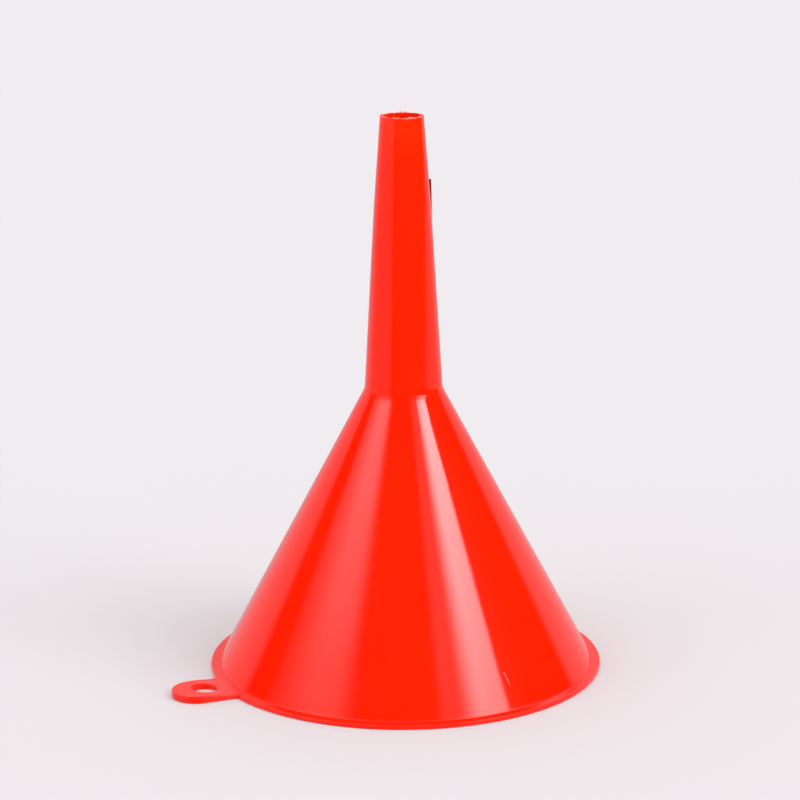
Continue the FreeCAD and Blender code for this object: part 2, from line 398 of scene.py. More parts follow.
def make_walls(tab, material):
    """The turned shell, parted into rim, bowl, neck collar, spout barrel and outlet nose."""
    outline = shell_outline(tab.cut_radius)
    notch = np.linspace(math.pi - tab.root_angle, math.pi + tab.root_angle, TAB_NOTCH_COLUMNS + 1)
    rest = np.linspace(notch[-1], notch[0] + 2 * math.pi, AROUND - TAB_NOTCH_COLUMNS + 1)
    grid = around_grid(outline, np.concatenate([notch, rest[1:-1]]))
    normals = grid_normals(grid)
    foot_out = rows_at(outline, HEIGHT, FOOT_LEVEL)[1]
    neck_low = seam_rows(outline, COLLAR_LEVELS[0])
    neck_high = seam_rows(outline, COLLAR_LEVELS[1])
    shoulder = seam_rows(outline, SHOULDER_LEVEL)
    cut_rows = [row for row in rows_at(outline, RADIUS, tab.cut_radius) if row < foot_out]

    def through(start, end):
        return list(range(start, end + 1))

    rim_piece(grid, normals, through(0, foot_out), (cut_rows[0], cut_rows[-1]), material)
    bowl_rows = through(foot_out, neck_low[0]) + through(neck_low[1], len(outline) - 1) + [0]
    wall_piece("bowl_cone", grid, normals, bowl_rows, material)
    collar_rows = through(neck_low[0], neck_high[0]) + through(neck_high[1], neck_low[1])
    wall_piece("neck_collar", grid, normals, collar_rows, material)
    barrel_rows = through(neck_high[0], shoulder[0]) + through(shoulder[1], neck_high[1])
    wall_piece("spout_barrel", grid, normals, barrel_rows, material)
    wall_piece("outlet_nose", grid, normals, through(*shoulder), material)


# ---------------------------------------------------------------- hanging tab


class TabPlan:
    """The tab seen from above: its straight sides and round end."""

    def __init__(self):
        low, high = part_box("hanging_tab")
        self.end_centre = Vector((low.x + TAB_END_RADIUS, 0))
        self.end_thickness = high.z
        self.root = Vector((high.x, high.y))
        self.root_angle = math.atan2(high.y, -high.x)
        self.hole_centre = Vector(HANG_HOLE["pos_m"][:2])
        self.hole_radius = HANG_HOLE["dims"]["r_mm"] * MM
        self.cut_radius = RIM_RADIUS - TAB_KEEP_IN_RIM
        self.place_side()

    def place_side(self):
        """The side line is tangent to the end arc and leaves the rim at the tab's root."""
        to_root = self.root - self.end_centre
        lean = math.atan2(to_root.y, to_root.x) - math.asin(TAB_END_RADIUS / to_root.length)
        self.side = Vector((math.cos(lean), math.sin(lean)))
        self.side_normal = Vector((-self.side.y, self.side.x))

    def half_outline(self):
        """(place, outward normal) pairs on the +Y half, from the rim's edge to the tip of the tab."""
        end_tangent = self.end_centre + self.side_normal * TAB_END_RADIUS
        pairs = []
        for k in range(TAB_SIDE_STEPS + 1):
            pairs.append((self.root.lerp(end_tangent, k / TAB_SIDE_STEPS), self.side_normal.copy()))
        first = math.atan2(self.side_normal.y, self.side_normal.x)
        for k in range(1, TAB_END_STEPS + 1):
            angle = first + (math.pi - first) * k / TAB_END_STEPS
            normal = Vector((math.cos(angle), math.sin(angle)))
            pairs.append((self.end_centre + normal * TAB_END_RADIUS, normal))
        return pairs

    def edge_round(self, place):
        """How far the edge's round takes the side in. It is nothing where the tab leaves the rim."""
        return TAB_EDGE_ROUND * float(ease((self.root.x - place.x) / TAB_ROUND_RUNS_OUT))

    def thickness(self, place):
        """The top starts flush with the rim and rises gently towards the tab's end."""
        run = -self.end_centre.x - RIM_RADIUS
        share = float(ease((-place.x - RIM_RADIUS) / run))
        return RIM_THICKNESS + (self.end_thickness - RIM_THICKNESS) * share

    def top_normal(self, place):
        probe = Vector((0.05 * MM, 0))
        rise = (self.thickness(place + probe) - self.thickness(place - probe)) / (2 * probe.x)
        return Vector((-rise, 0, 1)).normalized()


def tab_columns(plan):
    """(place, outward normal, cut) all round the tab. Cut columns stand in the rim's notch."""
    half = plan.half_outline()
    mirrored = [(Vector((p.x, -p.y)), Vector((n.x, -n.y))) for p, n in reversed(half[:-1])]
    columns = [(place, normal, False) for place, normal in half + mirrored]
    radial = Vector((-math.cos(plan.root_angle), -math.sin(plan.root_angle)))
    radii = np.linspace(RIM_RADIUS, plan.cut_radius, TAB_CUT_STEPS + 1)[1:]
    columns += [(radial * radius, radial, True) for radius in radii]
    angles = np.linspace(math.pi + plan.root_angle, math.pi - plan.root_angle, TAB_NOTCH_COLUMNS + 1)
    arc = [Vector((math.cos(angle), math.sin(angle))) * plan.cut_radius for angle in angles[1:]]
    columns += [(place, -place.normalized(), True) for place in arc]
    radial = Vector((radial.x, -radial.y))
    columns += [(radial * radius, radial, True) for radius in radii[::-1][1:]]
    return columns


def edge_angles(start, end):
    """The steps of a quarter round between two angles in degrees, in radians."""
    return [math.radians(start + (end - start) * k / ROUND_STEPS) for k in range(ROUND_STEPS + 1)]


def edge_height(thickness, edge_round, angle, low):
    """Height at an angle on an edge's quarter round, on the floor's side or on the top's."""
    rise = edge_round * (1 + math.sin(angle))
    return rise if low else thickness - 2 * edge_round + rise


def tab_section(plan, place, normal, cut):
    """(point, normal) pairs round one section: outer side down, underside, hole side up, top."""
    thickness = plan.thickness(place)
    up, down = plan.top_normal(place), Vector((0, 0, -1))
    section = []
    for low, angles in ((False, edge_angles(90, 0)), (True, edge_angles(0, -90))):
        for angle in angles:
            inset = 0.0 if cut else plan.edge_round(place) * (1 - math.cos(angle))
            spot = place - normal * inset
            height = edge_height(thickness, TAB_EDGE_ROUND, angle, low)
            facing = Vector((*normal * math.cos(angle), math.sin(angle)))
            section.append((Vector((*spot, height)), facing))
    section[0] = (section[0][0], up)
    outer_low, outer_high = section[-1][0], section[0][0]
    out = (place - plan.hole_centre).normalized()
    hole = []
    for low, angles in ((True, edge_angles(-90, 0)), (False, edge_angles(0, 90))):
        for angle in angles:
            reach = plan.hole_radius + TAB_HOLE_EDGE_ROUND * (1 - math.cos(angle))
            spot = plan.hole_centre + out * reach
            height = edge_height(plan.thickness(spot), TAB_HOLE_EDGE_ROUND, angle, low)
            facing = Vector((*out * -math.cos(angle), math.sin(angle)))
            hole.append((Vector((*spot, height)), facing))
    shares = [k / TAB_RINGS for k in range(1, TAB_RINGS)]
    under = [(outer_low.lerp(hole[0][0], share), down) for share in shares]
    top = []
    for share in shares:
        spot = hole[-1][0].lerp(outer_high, share)
        spot.z = plan.thickness(spot.xy)
        top.append((spot, plan.top_normal(spot.xy)))
    hole[-1] = (hole[-1][0], plan.top_normal(hole[-1][0].xy))
    return section + under + hole + top


def make_tab(plan, material):
    """The hanging tab with its hole, from the notch in the rim to its round end."""
    columns = tab_columns(plan)
    sections = [tab_section(plan, *column) for column in columns]
    points = np.array([[point for point, _ in section] for section in sections]).transpose(1, 0, 2)
    normals = np.array([[normal for _, normal in section] for section in sections]).transpose(1, 0, 2)
    skin = Skin(points, normals)
    side_rows = 2 * ROUND_STEPS + 1
    for row in range(len(points)):
        for column in range(len(columns)):
            next_column = (column + 1) % len(columns)
            in_notch = columns[column][2] or columns[next_column][2]
            skin.quad((row + 1) % len(points), row, column, in_notch and row < side_rows)
    return stands_for(skin.make("hanging_tab", material), "hanging_tab")


# ---------------------------------------------------------------- vent rib


# Shares of the rib's half thickness: where its crest starts to fall, and where it meets the wall.
RIB_CREST_FLAT = 0.62
RIB_FLARE = 1.35
RIB_SINK = 0.08 * MM
RIB_BACKING = 0.45 * MM
RIB_CORNER_ROUND = 0.15 * MM
# The rib starts this far below its CAD node and ends this far above it, sunk in the wall.
RIB_TAIL = 1.5 * MM
RIB_OVER = 0.1 * MM
RIB_FINE_REACH = 1.2 * MM
RIB_LEVELS = 90
RIB_ACROSS = 28


def rib_reach(height, corner, foot):
    """Distance of the rib's outer edge from the axis: a long straight edge and a slanted top."""
    top_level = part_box("vent_rib")[1].z
    surface = NOSE_OUT.at(top_level)
    edge = corner.x + (foot.x - corner.x) * (height - corner.y) / (foot.y - corner.y)
    slant = surface + (corner.x - surface) * (top_level - height) / (top_level - corner.y)
    gap = edge - slant
    return (edge + slant - math.sqrt(gap * gap + RIB_CORNER_ROUND ** 2)) / 2


def spout_radius(height):
    """Outer radius of the spout."""
    return BARREL_OUT.at(height) if height < SHOULDER_LEVEL else NOSE_OUT.at(height)


def rib_edge():
    """Top corner and foot of the rib's outer edge, as distance from the axis and height."""
    points = node_points("vent_rib")
    side = points[np.abs(points[:, 1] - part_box("vent_rib")[1].y) < SAME_LEVEL]
    corner = side[np.argmax(side[:, 2] + 2.0 * side[:, 0])]
    foot = side[np.argmax(side[:, 0])]
    return Vector((corner[0], corner[2])), Vector((foot[0], foot[2]))


def rib_levels():
    """Levels up the rib, closer together at its top end."""
    low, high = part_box("vent_rib")
    fine_from = high.z - RIB_FINE_REACH
    coarse = np.linspace(low.z - RIB_TAIL, fine_from, RIB_LEVELS // 2, endpoint=False)
    fine = np.linspace(fine_from, high.z + RIB_OVER, RIB_LEVELS // 2)
    return np.concatenate([coarse, fine])


def rib_ring(height, half, corner, foot):
    """One level of the rib: its outside from side to side, then its back, sunk in the wall."""
    radius = spout_radius(height)
    proud = rib_reach(height, corner, foot) - radius
    front, back = [], []
    for side in np.sin(np.linspace(-math.pi / 2, math.pi / 2, RIB_ACROSS)):
        offset = side * half * RIB_FLARE
        fall = (abs(offset) / half - RIB_CREST_FLAT) / (RIB_FLARE - RIB_CREST_FLAT)
        shape = 1 - float(ease(fall))
        surface = math.sqrt(radius * radius - offset * offset)
        lift = max(proud, -RIB_SINK) * shape - RIB_SINK * (1 - shape)
        front.append((surface + lift, offset, height))
        back.append((surface - RIB_BACKING, offset, height))
    return front + back[::-1]


def make_rib(material):
    """A thin fin on the outside of the spout that keeps an air gap in a bottle's neck."""
    low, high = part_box("vent_rib")
    half = (high.y - low.y) / 2
    corner, foot = rib_edge()
    rings = [rib_ring(height, half, corner, foot) for height in rib_levels()]
    skin = capped_tube(rings, flat_from=RIB_ACROSS - 1)
    return stands_for(skin.make("vent_rib", material), "vent_rib")


# ---------------------------------------------------------------- node graphs


class Graph:
    """Short names for the shader nodes that the materials and the light use."""

    def __init__(self, tree):
        self.tree = tree
        self.tree.nodes.clear()

    def node(self, kind, **settings):
        made = self.tree.nodes.new(kind)
        for key, value in settings.items():
            setattr(made, key, value)
        return made

    def link(self, source, target):
        """Plugs an output into a socket, or sets the socket when the source is a plain value."""
        if isinstance(source, bpy.types.NodeSocket):
            self.tree.links.new(source, target)
        else:
            target.default_value = source

    def math(self, operation, first, second=0.0):
        made = self.node("ShaderNodeMath", operation=operation)
        self.link(first, made.inputs[0])
        self.link(second, made.inputs[1])
        return made.outputs[0]

    def product(self, first, *others):
        for other in others:
            first = self.math("MULTIPLY", first, other)
        return first

    def weighted(self, start, *terms):
        """The start plus each value times its weight."""
        for value, weight in terms:
            start = self.math("ADD", start, self.math("MULTIPLY", value, weight))
        return start

    def vector(self, operation, first, second=(0.0, 0.0, 0.0), scale=1.0):
        made = self.node("ShaderNodeVectorMath", operation=operation)
        self.link(first, made.inputs[0])
        self.link(second, made.inputs[1])
        if operation == "SCALE":
            self.link(scale, made.inputs[3])
        scalar = operation in ("DOT_PRODUCT", "DISTANCE")
        return made.outputs["Value" if scalar else "Vector"]

    def ramp(self, value, low, high, smooth=True):
        """0 at low and 1 at high, eased between them and flat beyond."""
        made = self.node("ShaderNodeMapRange", interpolation_type="SMOOTHSTEP" if smooth else "LINEAR")
        made.clamp = True
        self.link(value, made.inputs["Value"])
        self.link(low, made.inputs["From Min"])
        self.link(high, made.inputs["From Max"])
        return made.outputs["Result"]

    def noise(self, place, scale, detail=2.0):
        made = self.node("ShaderNodeTexNoise")
        self.link(place, made.inputs["Vector"])
        made.inputs["Scale"].default_value = scale
        made.inputs["Detail"].default_value = detail
        return made.outputs["Fac"]

    def blend(self, share, first, second):
        made = self.node("ShaderNodeMix", data_type="RGBA")
        self.link(share, made.inputs[0])
        self.link(first, made.inputs[6])
        self.link(second, made.inputs[7])
        return made.outputs[2]

    def parts(self, vector):
        made = self.node("ShaderNodeSeparateXYZ")
        self.link(vector, made.inputs[0])
        return made.outputs

    def joined(self, x, y, z):
        made = self.node("ShaderNodeCombineXYZ")
        for k, value in enumerate((x, y, z)):
            self.link(value, made.inputs[k])
        return made.outputs[0]


# ---------------------------------------------------------------- the red plastic


RED = (0.94, 0.0135, 0.0004, 1.0)
DEEP_RED = (0.90, 0.0105, 0.0003, 1.0)
THIN_RED = (0.94, 0.024, 0.0004, 1.0)
STRESSED = (0.97, 0.36, 0.32, 1.0)
SCRAPED = (0.96, 0.10, 0.06, 1.0)
# Painted shade: the dark tone on the rib's -Y flank stands in for its shadow.
PAINTED_SHADE_FLANK = (0.11, 0.0035, 0.0012, 1.0)
# Noise scales: larger is finer.
CLOUD_SCALE = 45.0
STREAK_SCALE = 16.0
RIPPLE_SCALE = 130.0
PATCH_SCALE = 420.0
PEEL_SCALE = 700.0
WEAR_SCALE = 1300.0
# How fast the streaks change along the wall.
STREAK_RISE = 2.5
# Painted shade on the rib's -Y flank, the side that faces the camera: a dark tone in place of the shadow
# there.
# It sets in this far below the rib's top and is full after the length that follows. Across the rib it
# starts and is full at these places along Y.
PAINTED_SHADE_DEPTH = 12 * MM
PAINTED_SHADE_REACH = 7 * MM
PAINTED_SHADE_ACROSS = (-0.22 * MM, -0.42 * MM)
LIP_WHITENING = 0.6
FLASH_WHITENING = 0.8
PLASTIC_IOR = 1.49


def on_wall(height, azimuth_degrees):
    """A place on the outside of the bowl or the spout. Azimuth is counted from +X towards +Y."""
    radius = CONE_OUT.at(height) if height < COLLAR_LEVELS[0] else spout_radius(height)
    angle = math.radians(azimuth_degrees)
    return (radius * math.cos(angle), radius * math.sin(angle), height)


# (start, end, half width, strength) of the handling marks.
SCRATCHES = [
    (on_wall(11.4 * MM, -81.7), on_wall(8.0 * MM, -80.8), 0.11 * MM, 1.0),
    (on_wall(61.2 * MM, -85.2), on_wall(60.0 * MM, -84.6), 0.22 * MM, 0.5),
    (on_wall(50.8 * MM, -84.5), on_wall(49.9 * MM, -84.1), 0.18 * MM, 0.4),
    (on_wall(33.0 * MM, 52.0), on_wall(26.0 * MM, 55.0), 0.12 * MM, 0.7),
    (on_wall(58.0 * MM, 140.0), on_wall(52.0 * MM, 137.5), 0.12 * MM, 0.6),
    (on_wall(149.9 * MM, -44.0), on_wall(149.0 * MM, -41.0), 0.10 * MM, 0.9),
    (on_wall(150.1 * MM, -50.0), on_wall(149.3 * MM, -47.0), 0.08 * MM, 0.6),
]


def scratch_mask(graph, place, start, end, half_width, strength):
    """1 on the line from start to end and 0 away from it."""
    start, end = Vector(start), Vector(end)
    run = end - start
    from_start = graph.vector("SUBTRACT", place, tuple(start))
    share = graph.vector("DOT_PRODUCT", from_start, tuple(run / run.length_squared))
    share = graph.ramp(share, 0.0, 1.0, smooth=False)
    nearest = graph.vector("SCALE", tuple(run), scale=share)
    away = graph.vector("DISTANCE", from_start, nearest)
    return graph.math("MULTIPLY", graph.ramp(away, 2 * half_width, 0.3 * half_width), strength)


def all_scratches(graph, place):
    """The strongest of the handling marks at a place."""
    total = 0.0
    for scratch in SCRATCHES:
        total = graph.math("MAXIMUM", scratch_mask(graph, place, *scratch), total)
    return total


def along_streaks(graph, place):
    """Fine streaks that run up the wall: noise that changes fast around the axis and slowly along it."""
    x, y, z = graph.parts(place)
    squares = graph.math("ADD", graph.math("MULTIPLY", x, x), graph.math("MULTIPLY", y, y))
    reach = graph.math("MAXIMUM", graph.math("SQRT", squares), 1 * MM)
    around_x = graph.math("DIVIDE", x, reach)
    around_y = graph.math("DIVIDE", y, reach)
    spot = graph.joined(around_x, around_y, graph.math("MULTIPLY", z, STREAK_RISE))
    return graph.noise(spot, STREAK_SCALE, 3.0)


def worn_scratches(graph, place):
    """The handling marks, broken up by fine noise."""
    worn = graph.ramp(graph.noise(place, WEAR_SCALE), 0.25, 0.55)
    return graph.product(all_scratches(graph, place), worn)


def trimming_stress(graph, place, height, whitening):
    """Whitening in patches along the trimmed lip, or an even whitening where that is more."""
    patchy = graph.ramp(graph.noise(place, PATCH_SCALE, 3.0), 0.46, 0.62)
    edge = graph.ramp(height, TOP - 0.5 * MM, TOP - 0.1 * MM)
    return graph.math("MAXIMUM", graph.product(edge, patchy, LIP_WHITENING), whitening)


def plastic_colour(graph, place, height, scratches, stress):
    """Red with faint clouds, paler where the wall is thin, scratched and stressed."""
    cloud = graph.ramp(graph.noise(place, CLOUD_SCALE, 3.0), 0.3, 0.75)
    colour = graph.blend(graph.product(cloud, 0.6), RED, DEEP_RED)
    past_neck = graph.ramp(height, *COLLAR_LEVELS)
    near_lip = graph.ramp(height, TOP - 15 * MM, TOP - 2 * MM)
    colour = graph.blend(graph.weighted(0.0, (past_neck, 0.25), (near_lip, 0.65)), colour, THIN_RED)
    colour = graph.blend(graph.product(scratches, 0.75), colour, SCRAPED)
    return graph.blend(stress, colour, STRESSED)


def with_painted_shade(graph, colour, sideways, height, painted_shade_from):
    """The colour with painted shade: a dark tone on the rib's -Y flank, in place of its shadow, that sets
    in above the given level.
    """
    dark = graph.ramp(height, painted_shade_from, painted_shade_from + PAINTED_SHADE_REACH)
    flank = graph.ramp(sideways, *PAINTED_SHADE_ACROSS)
    return graph.blend(graph.product(dark, flank), colour, PAINTED_SHADE_FLANK)


def make_plastic(name, whitening, painted_shade_from=None):
    """Glossy pigmented polypropylene: even red, faint streaks and peel, a few handling marks, and painted
    shade on the rib's -Y flank when a level is given.
    """
    material = bpy.data.materials.new(name)
    material.use_nodes = True
    graph = Graph(material.node_tree)
    place = graph.node("ShaderNodeTexCoord").outputs["Object"]
    sideways, height = graph.parts(place)[1:3]
    scratches = worn_scratches(graph, place)
    stress = trimming_stress(graph, place, height, whitening)
    streaks = along_streaks(graph, place)
    peel = graph.noise(place, PEEL_SCALE)
    ripple = graph.noise(place, RIPPLE_SCALE)
    near_rim = graph.ramp(height, RIM_THICKNESS + 0.8 * MM, RIM_THICKNESS + 0.1 * MM)
    colour = plastic_colour(graph, place, height, scratches, stress)
    # Painted shade on the rib's -Y flank, a dark tone in place of its shadow.
    if painted_shade_from:
        colour = with_painted_shade(graph, colour, sideways, height, painted_shade_from)
    rough = graph.weighted(0.05, (streaks, 0.04), (scratches, 0.25), (stress, 0.3), (near_rim, 0.17))
    marks = ((streaks, 0.014 * MM), (peel, 0.0015 * MM), (ripple, 0.012 * MM), (scratches, 0.03 * MM))
    bump = graph.node("ShaderNodeBump")
    bump.inputs["Strength"].default_value = 1.0
    bump.inputs["Distance"].default_value = 1.0
    graph.link(graph.weighted(0.0, *marks), bump.inputs["Height"])
    shader = graph.node("ShaderNodeBsdfPrincipled")
    shader.inputs["IOR"].default_value = PLASTIC_IOR
    graph.link(colour, shader.inputs["Base Color"])
    graph.link(rough, shader.inputs["Roughness"])
    graph.link(bump.outputs["Normal"], shader.inputs["Normal"])
    output = graph.node("ShaderNodeOutputMaterial")
    graph.link(shader.outputs["BSDF"], output.inputs["Surface"])
    return material


# ---------------------------------------------------------------- outlet flash


FLASH_THICKNESS = 0.13 * MM
FLASH_HEIGHT = 0.5 * MM
FLASH_ROOT = 0.45 * MM
FLASH_SINK = 0.1 * MM
FLASH_BEND = 0.12 * MM
FLASH_SHARE = 0.35
FLASH_PATTERN = 1.9
BEND_PATTERN = 4.1
SLIVER_STEPS = 9
SLIVER_SIDES = 6
SLIVER_SINK = 0.2 * MM
SLIVER_TAPER = 0.6
SLIVER_TIP = 0.04

# (azimuth in degrees from +X towards +Y, share of the way out across the lip, length and width
#  in millimetres, outward lean, sideways lean, curl in degrees) of the shavings left by the trimming.
SHAVINGS = [
    (66.0, 0.45, 1.25, 0.34, -0.1, 0.25, 95.0),
    (8.0, 0.55, 0.75, 0.30, 0.35, 0.2, 60.0),
    (-142.0, 0.35, 1.15, 0.30, -0.55, 0.5, 40.0),
    (-104.0, 0.90, 1.05, 0.40, 0.9, 0.6, 130.0),
    (-96.0, 0.85, 0.95, 0.34, 1.1, -0.6, 150.0),
    (178.0, 0.60, 0.5, 0.24, 0.1, -0.3, 70.0),
    (120.0, 0.50, 0.45, 0.22, 0.2, 0.4, 80.0),
]


def flash_height(angle):
    """Height of the thin ragged fin that the trimming left on the lip, 0 where it came off clean."""
    spot = ring_spot(angle, FLASH_PATTERN)
    patches = noise.noise(spot * 2.2) + 0.15
    teeth = 0.65 + 0.5 * noise.noise(spot * 19.0)
    return FLASH_HEIGHT * max(0.0, min(1.0, 2.2 * patches)) * teeth


def lip_level(angle):
    """Height of the lip's uneven cut."""
    return TOP - LIP_RAG_DEPTH * lip_rag_at(angle)


def lip_radius(share):
    """Radius at a share of the way out across the lip."""
    return NOSE_IN.at(TOP) + share * (NOSE_OUT.at(TOP) - NOSE_IN.at(TOP))


def flash_ring(material):
    """The thin broken fin that stands on the lip."""
    angles = np.linspace(0, 2 * math.pi, AROUND, endpoint=False)
    middle = lip_radius(FLASH_SHARE)
    rows = [[], [], [], []]
    for angle in angles:
        top = lip_level(angle) - FLASH_SINK + flash_height(angle)
        low = lip_level(angle) - FLASH_ROOT
        bend = FLASH_BEND * noise.noise(ring_spot(angle, BEND_PATTERN) * 6.0)
        spots = (
            (middle + FLASH_THICKNESS / 2, low),
            (middle + FLASH_THICKNESS / 3 + bend, top),
            (middle - FLASH_THICKNESS / 3 + bend, top),
            (middle - FLASH_THICKNESS / 2, low),
        )
        for row, (radius, height) in zip(rows, spots):
            row.append((radius * math.cos(angle), radius * math.sin(angle), height))
    grid = np.array(rows)
    skin = Skin(grid, grid_normals(grid))
    for row in range(len(rows)):
        for column in range(AROUND):
            skin.quad(row, (row + 1) % len(rows), column)
    return skin.make("outlet_flash", material)


def shaving(index, azimuth, share, length, width, outward, sideways, curl, material):
    """A small tapered sliver that stands on the lip and curls over."""
    angle = math.radians(azimuth)
    radial = Vector((math.cos(angle), math.sin(angle), 0))
    along_lip = Vector((-radial.y, radial.x, 0))
    place = radial * lip_radius(share) + Vector((0, 0, lip_level(angle) - SLIVER_SINK))
    heading = (Vector((0, 0, 1)) + radial * outward + along_lip * sideways).normalized()
    across = heading.cross(radial).normalized()
    turn = Matrix.Rotation(math.radians(curl) / SLIVER_STEPS, 3, across)
    rings = []
    for step in range(SLIVER_STEPS + 1):
        taper = (1 - step / SLIVER_STEPS) ** SLIVER_TAPER + SLIVER_TIP
        face = heading.cross(across)
        ring = []
        for k in range(SLIVER_SIDES):
            around = 2 * math.pi * k / SLIVER_SIDES
            spot = across * math.cos(around) * width / 2 + face * math.sin(around) * width / 5
            ring.append(place + spot * MM * taper)
        rings.append(ring)
        place = place + heading * (length * MM / SLIVER_STEPS)
        heading = turn @ heading
    return capped_tube(rings).make("outlet_shaving_%d" % index, material)


def make_flash(material):
    """What the trimming of the outlet left: a thin broken fin and a few curled shavings."""
    pieces = [flash_ring(material)]
    for index, values in enumerate(SHAVINGS, start=1):
        pieces.append(shaving(index, *values, material))
    for piece in pieces:
        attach(piece, BODY)


# ---------------------------------------------------------------- stage, light and camera


FLOOR_RADIUS = 6.0
FLOOR_RINGS = 24
FLOOR_SEGMENTS = 96
FLOOR_DROP = 0.05 * MM
FLOOR_PATCH_SCALE = 3.0
FLOOR_UNEVENNESS = 0.12
FLOOR_DARKER = 0.94
FLOOR_TONE = (0.646, 0.629, 0.641, 1.0)
BACKDROP_TONE = (0.860, 0.820, 0.855, 1.0)
ROOM_LIGHT = 1.09
ROOM_TONE = (1.0, 0.985, 1.0, 1.0)
# (azimuth from the front, elevation, strength) of the broad lights that throw the soft shadows, and
# how far from a light's centre it ends and is full. Angles are in degrees.
KEY_LIGHTS = ((60.0, 32.0, 3.4), (-58.0, 32.0, 1.1))
KEY_SPREAD = (27.0, 8.0)
GLOSS_TONE = (1.0, 0.96, 1.0, 1.0)


def make_floor():
    """A wide pale floor. Gloss doesn't see it: the studio light holds what the plastic mirrors."""
    angles = np.linspace(0, 2 * math.pi, FLOOR_SEGMENTS, endpoint=False)
    radii = FLOOR_RADIUS * np.linspace(1 / FLOOR_RINGS, 1, FLOOR_RINGS) ** 2
    points = [(0.0, 0.0, 0.0)]
    points += [(r * math.cos(a), r * math.sin(a), 0.0) for r in radii for a in angles]
    count = len(angles)
    faces = [(0, 1 + k, 1 + (k + 1) % count) for k in range(count)]
    for ring in range(FLOOR_RINGS - 1):
        inner, outer = 1 + ring * count, 1 + (ring + 1) * count
        for k in range(count):
            after = (k + 1) % count
            faces.append((inner + k, outer + k, outer + after, inner + after))
    mesh = bpy.data.meshes.new("floor")
    mesh.from_pydata(points, [], faces)
    material = bpy.data.materials.new("pale_floor")
    material.use_nodes = True
    graph = Graph(material.node_tree)
    place = graph.node("ShaderNodeTexCoord").outputs["Object"]
    shader = graph.node("ShaderNodeBsdfDiffuse")
    uneven = graph.product(graph.noise(place, FLOOR_PATCH_SCALE), FLOOR_UNEVENNESS)
    darker = tuple(FLOOR_DARKER * tone for tone in FLOOR_TONE[:3]) + (1.0,)
    graph.link(graph.blend(uneven, FLOOR_TONE, darker), shader.inputs["Color"])
    output = graph.node("ShaderNodeOutputMaterial")
    graph.link(shader.outputs["BSDF"], output.inputs["Surface"])
    mesh.materials.append(material)
    floor = bpy.data.objects.new("floor", mesh)
    bpy.context.scene.collection.objects.link(floor)
    floor.location.z = -FLOOR_DROP
    floor.visible_glossy = False


# The studio as the plastic's gloss sees it, by direction in degrees: azimuth from the front of the
# set, where the camera stands, towards its right; elevation above the floor. A softbox fills in
# over `rise` and ends over `fall`. A `fade` says where it is weak, where it is full and how weak it
# is. It is `dim` below and `bright` above, each a pair of elevation and brightness, read at
# `middle`, along levels that slant with azimuth.
SOFTBOXES = (
    dict(rise=(-31.5, -50.0), fall=(-96.0, -89.0), fade=(-93.0, -60.0, 0.27),
         dim=(29.0, 1.0), bright=(36.0, 3.2), middle=-57.0, slant=0.25),
    dict(rise=(34.0, 53.0), fall=(69.6, 66.0),
         dim=(28.0, 5.0), bright=(35.5, 12.2), middle=60.0, slant=-0.1),
    dict(rise=(19.0, 27.0), fall=(45.0, 35.0),
         dim=(28.0, 0.3), bright=(35.5, 0.7), middle=30.0, slant=0.0),
    dict(rise=(118.0, 136.0), fall=(157.0, 153.0),
         dim=(30.0, 0.3), bright=(44.0, 4.0), middle=140.0, slant=0.0),
    dict(rise=(-126.0, -134.0), fall=(-170.0, -152.0),
         dim=(30.0, 0.3), bright=(44.0, 2.0), middle=-140.0, slant=0.0),
)
BOX_TOP = (54.0, 46.0)
BOX_BOTTOM = (9.0, 16.0)
# The wall starts over `left` and over `right`, and the wall and both floors end over `top`. The
# right floor's blurred edge lies at azimuth `edge` at the elevation `level`, and leans with it.
WALL = dict(left=(-109.0, -117.0), right=(116.0, 124.0), top=(36.0, 24.0), brightness=0.57)
FLOOR_LEFT = dict(rise=(-36.0, -43.0), top=(14.0, 5.0), brightness=0.40)
FLOOR_RIGHT = dict(rise=(20.0, 40.0), edge=102.0, level=-5.5, lean=12.0, blur=16.0, top=(6.0, 0.0),
                   brightness=0.45)


def softbox(graph, azimuth, elevation, rise, fall, dim, bright, middle, slant, fade=None):
    """Brightness of one softbox in a direction."""
    edges = [graph.ramp(azimuth, *rise), graph.ramp(azimuth, *fall)]
    if fade:
        weak, full, least = fade
        edges.append(graph.math("ADD", graph.product(graph.ramp(azimuth, weak, full), 1.0 - least), least))
    edges += [graph.ramp(elevation, *BOX_TOP), graph.ramp(elevation, *BOX_BOTTOM)]
    tilt = graph.product(graph.math("SUBTRACT", azimuth, middle), slant)
    level = graph.math("SUBTRACT", elevation, tilt)
    share = graph.ramp(level, dim[0], bright[0], smooth=False)
    brightness = graph.math("ADD", dim[1], graph.product(share, bright[1] - dim[1]))
    return graph.product(*edges, brightness)


def back_wall(graph, azimuth, elevation):
    """The pale wall behind the funnel, seen in its flanks and in the flat top of its rim."""
    left = graph.ramp(azimuth, *WALL["left"])
    right = graph.ramp(azimuth, *WALL["right"])
    top = graph.ramp(elevation, *WALL["top"])
    return graph.product(graph.math("MAXIMUM", left, right), top, WALL["brightness"])


def side_floor(graph, azimuth, elevation):
    """The dimmer floor at the left and the right, seen in the upright spout."""
    left = graph.product(
        graph.ramp(azimuth, *FLOOR_LEFT["rise"]),
        graph.ramp(elevation, *FLOOR_LEFT["top"]),
        FLOOR_LEFT["brightness"],
    )
    below = graph.math("SUBTRACT", elevation, FLOOR_RIGHT["level"])
    past = graph.math("SUBTRACT", azimuth, graph.product(below, FLOOR_RIGHT["lean"]))
    start = FLOOR_RIGHT["edge"] - FLOOR_RIGHT["blur"] / 2
    right = graph.product(
        graph.ramp(past, start, start + FLOOR_RIGHT["blur"]),
        graph.ramp(azimuth, *FLOOR_RIGHT["rise"]),
        graph.ramp(elevation, *FLOOR_RIGHT["top"]),
        FLOOR_RIGHT["brightness"],
    )
    return graph.math("MAXIMUM", left, right)


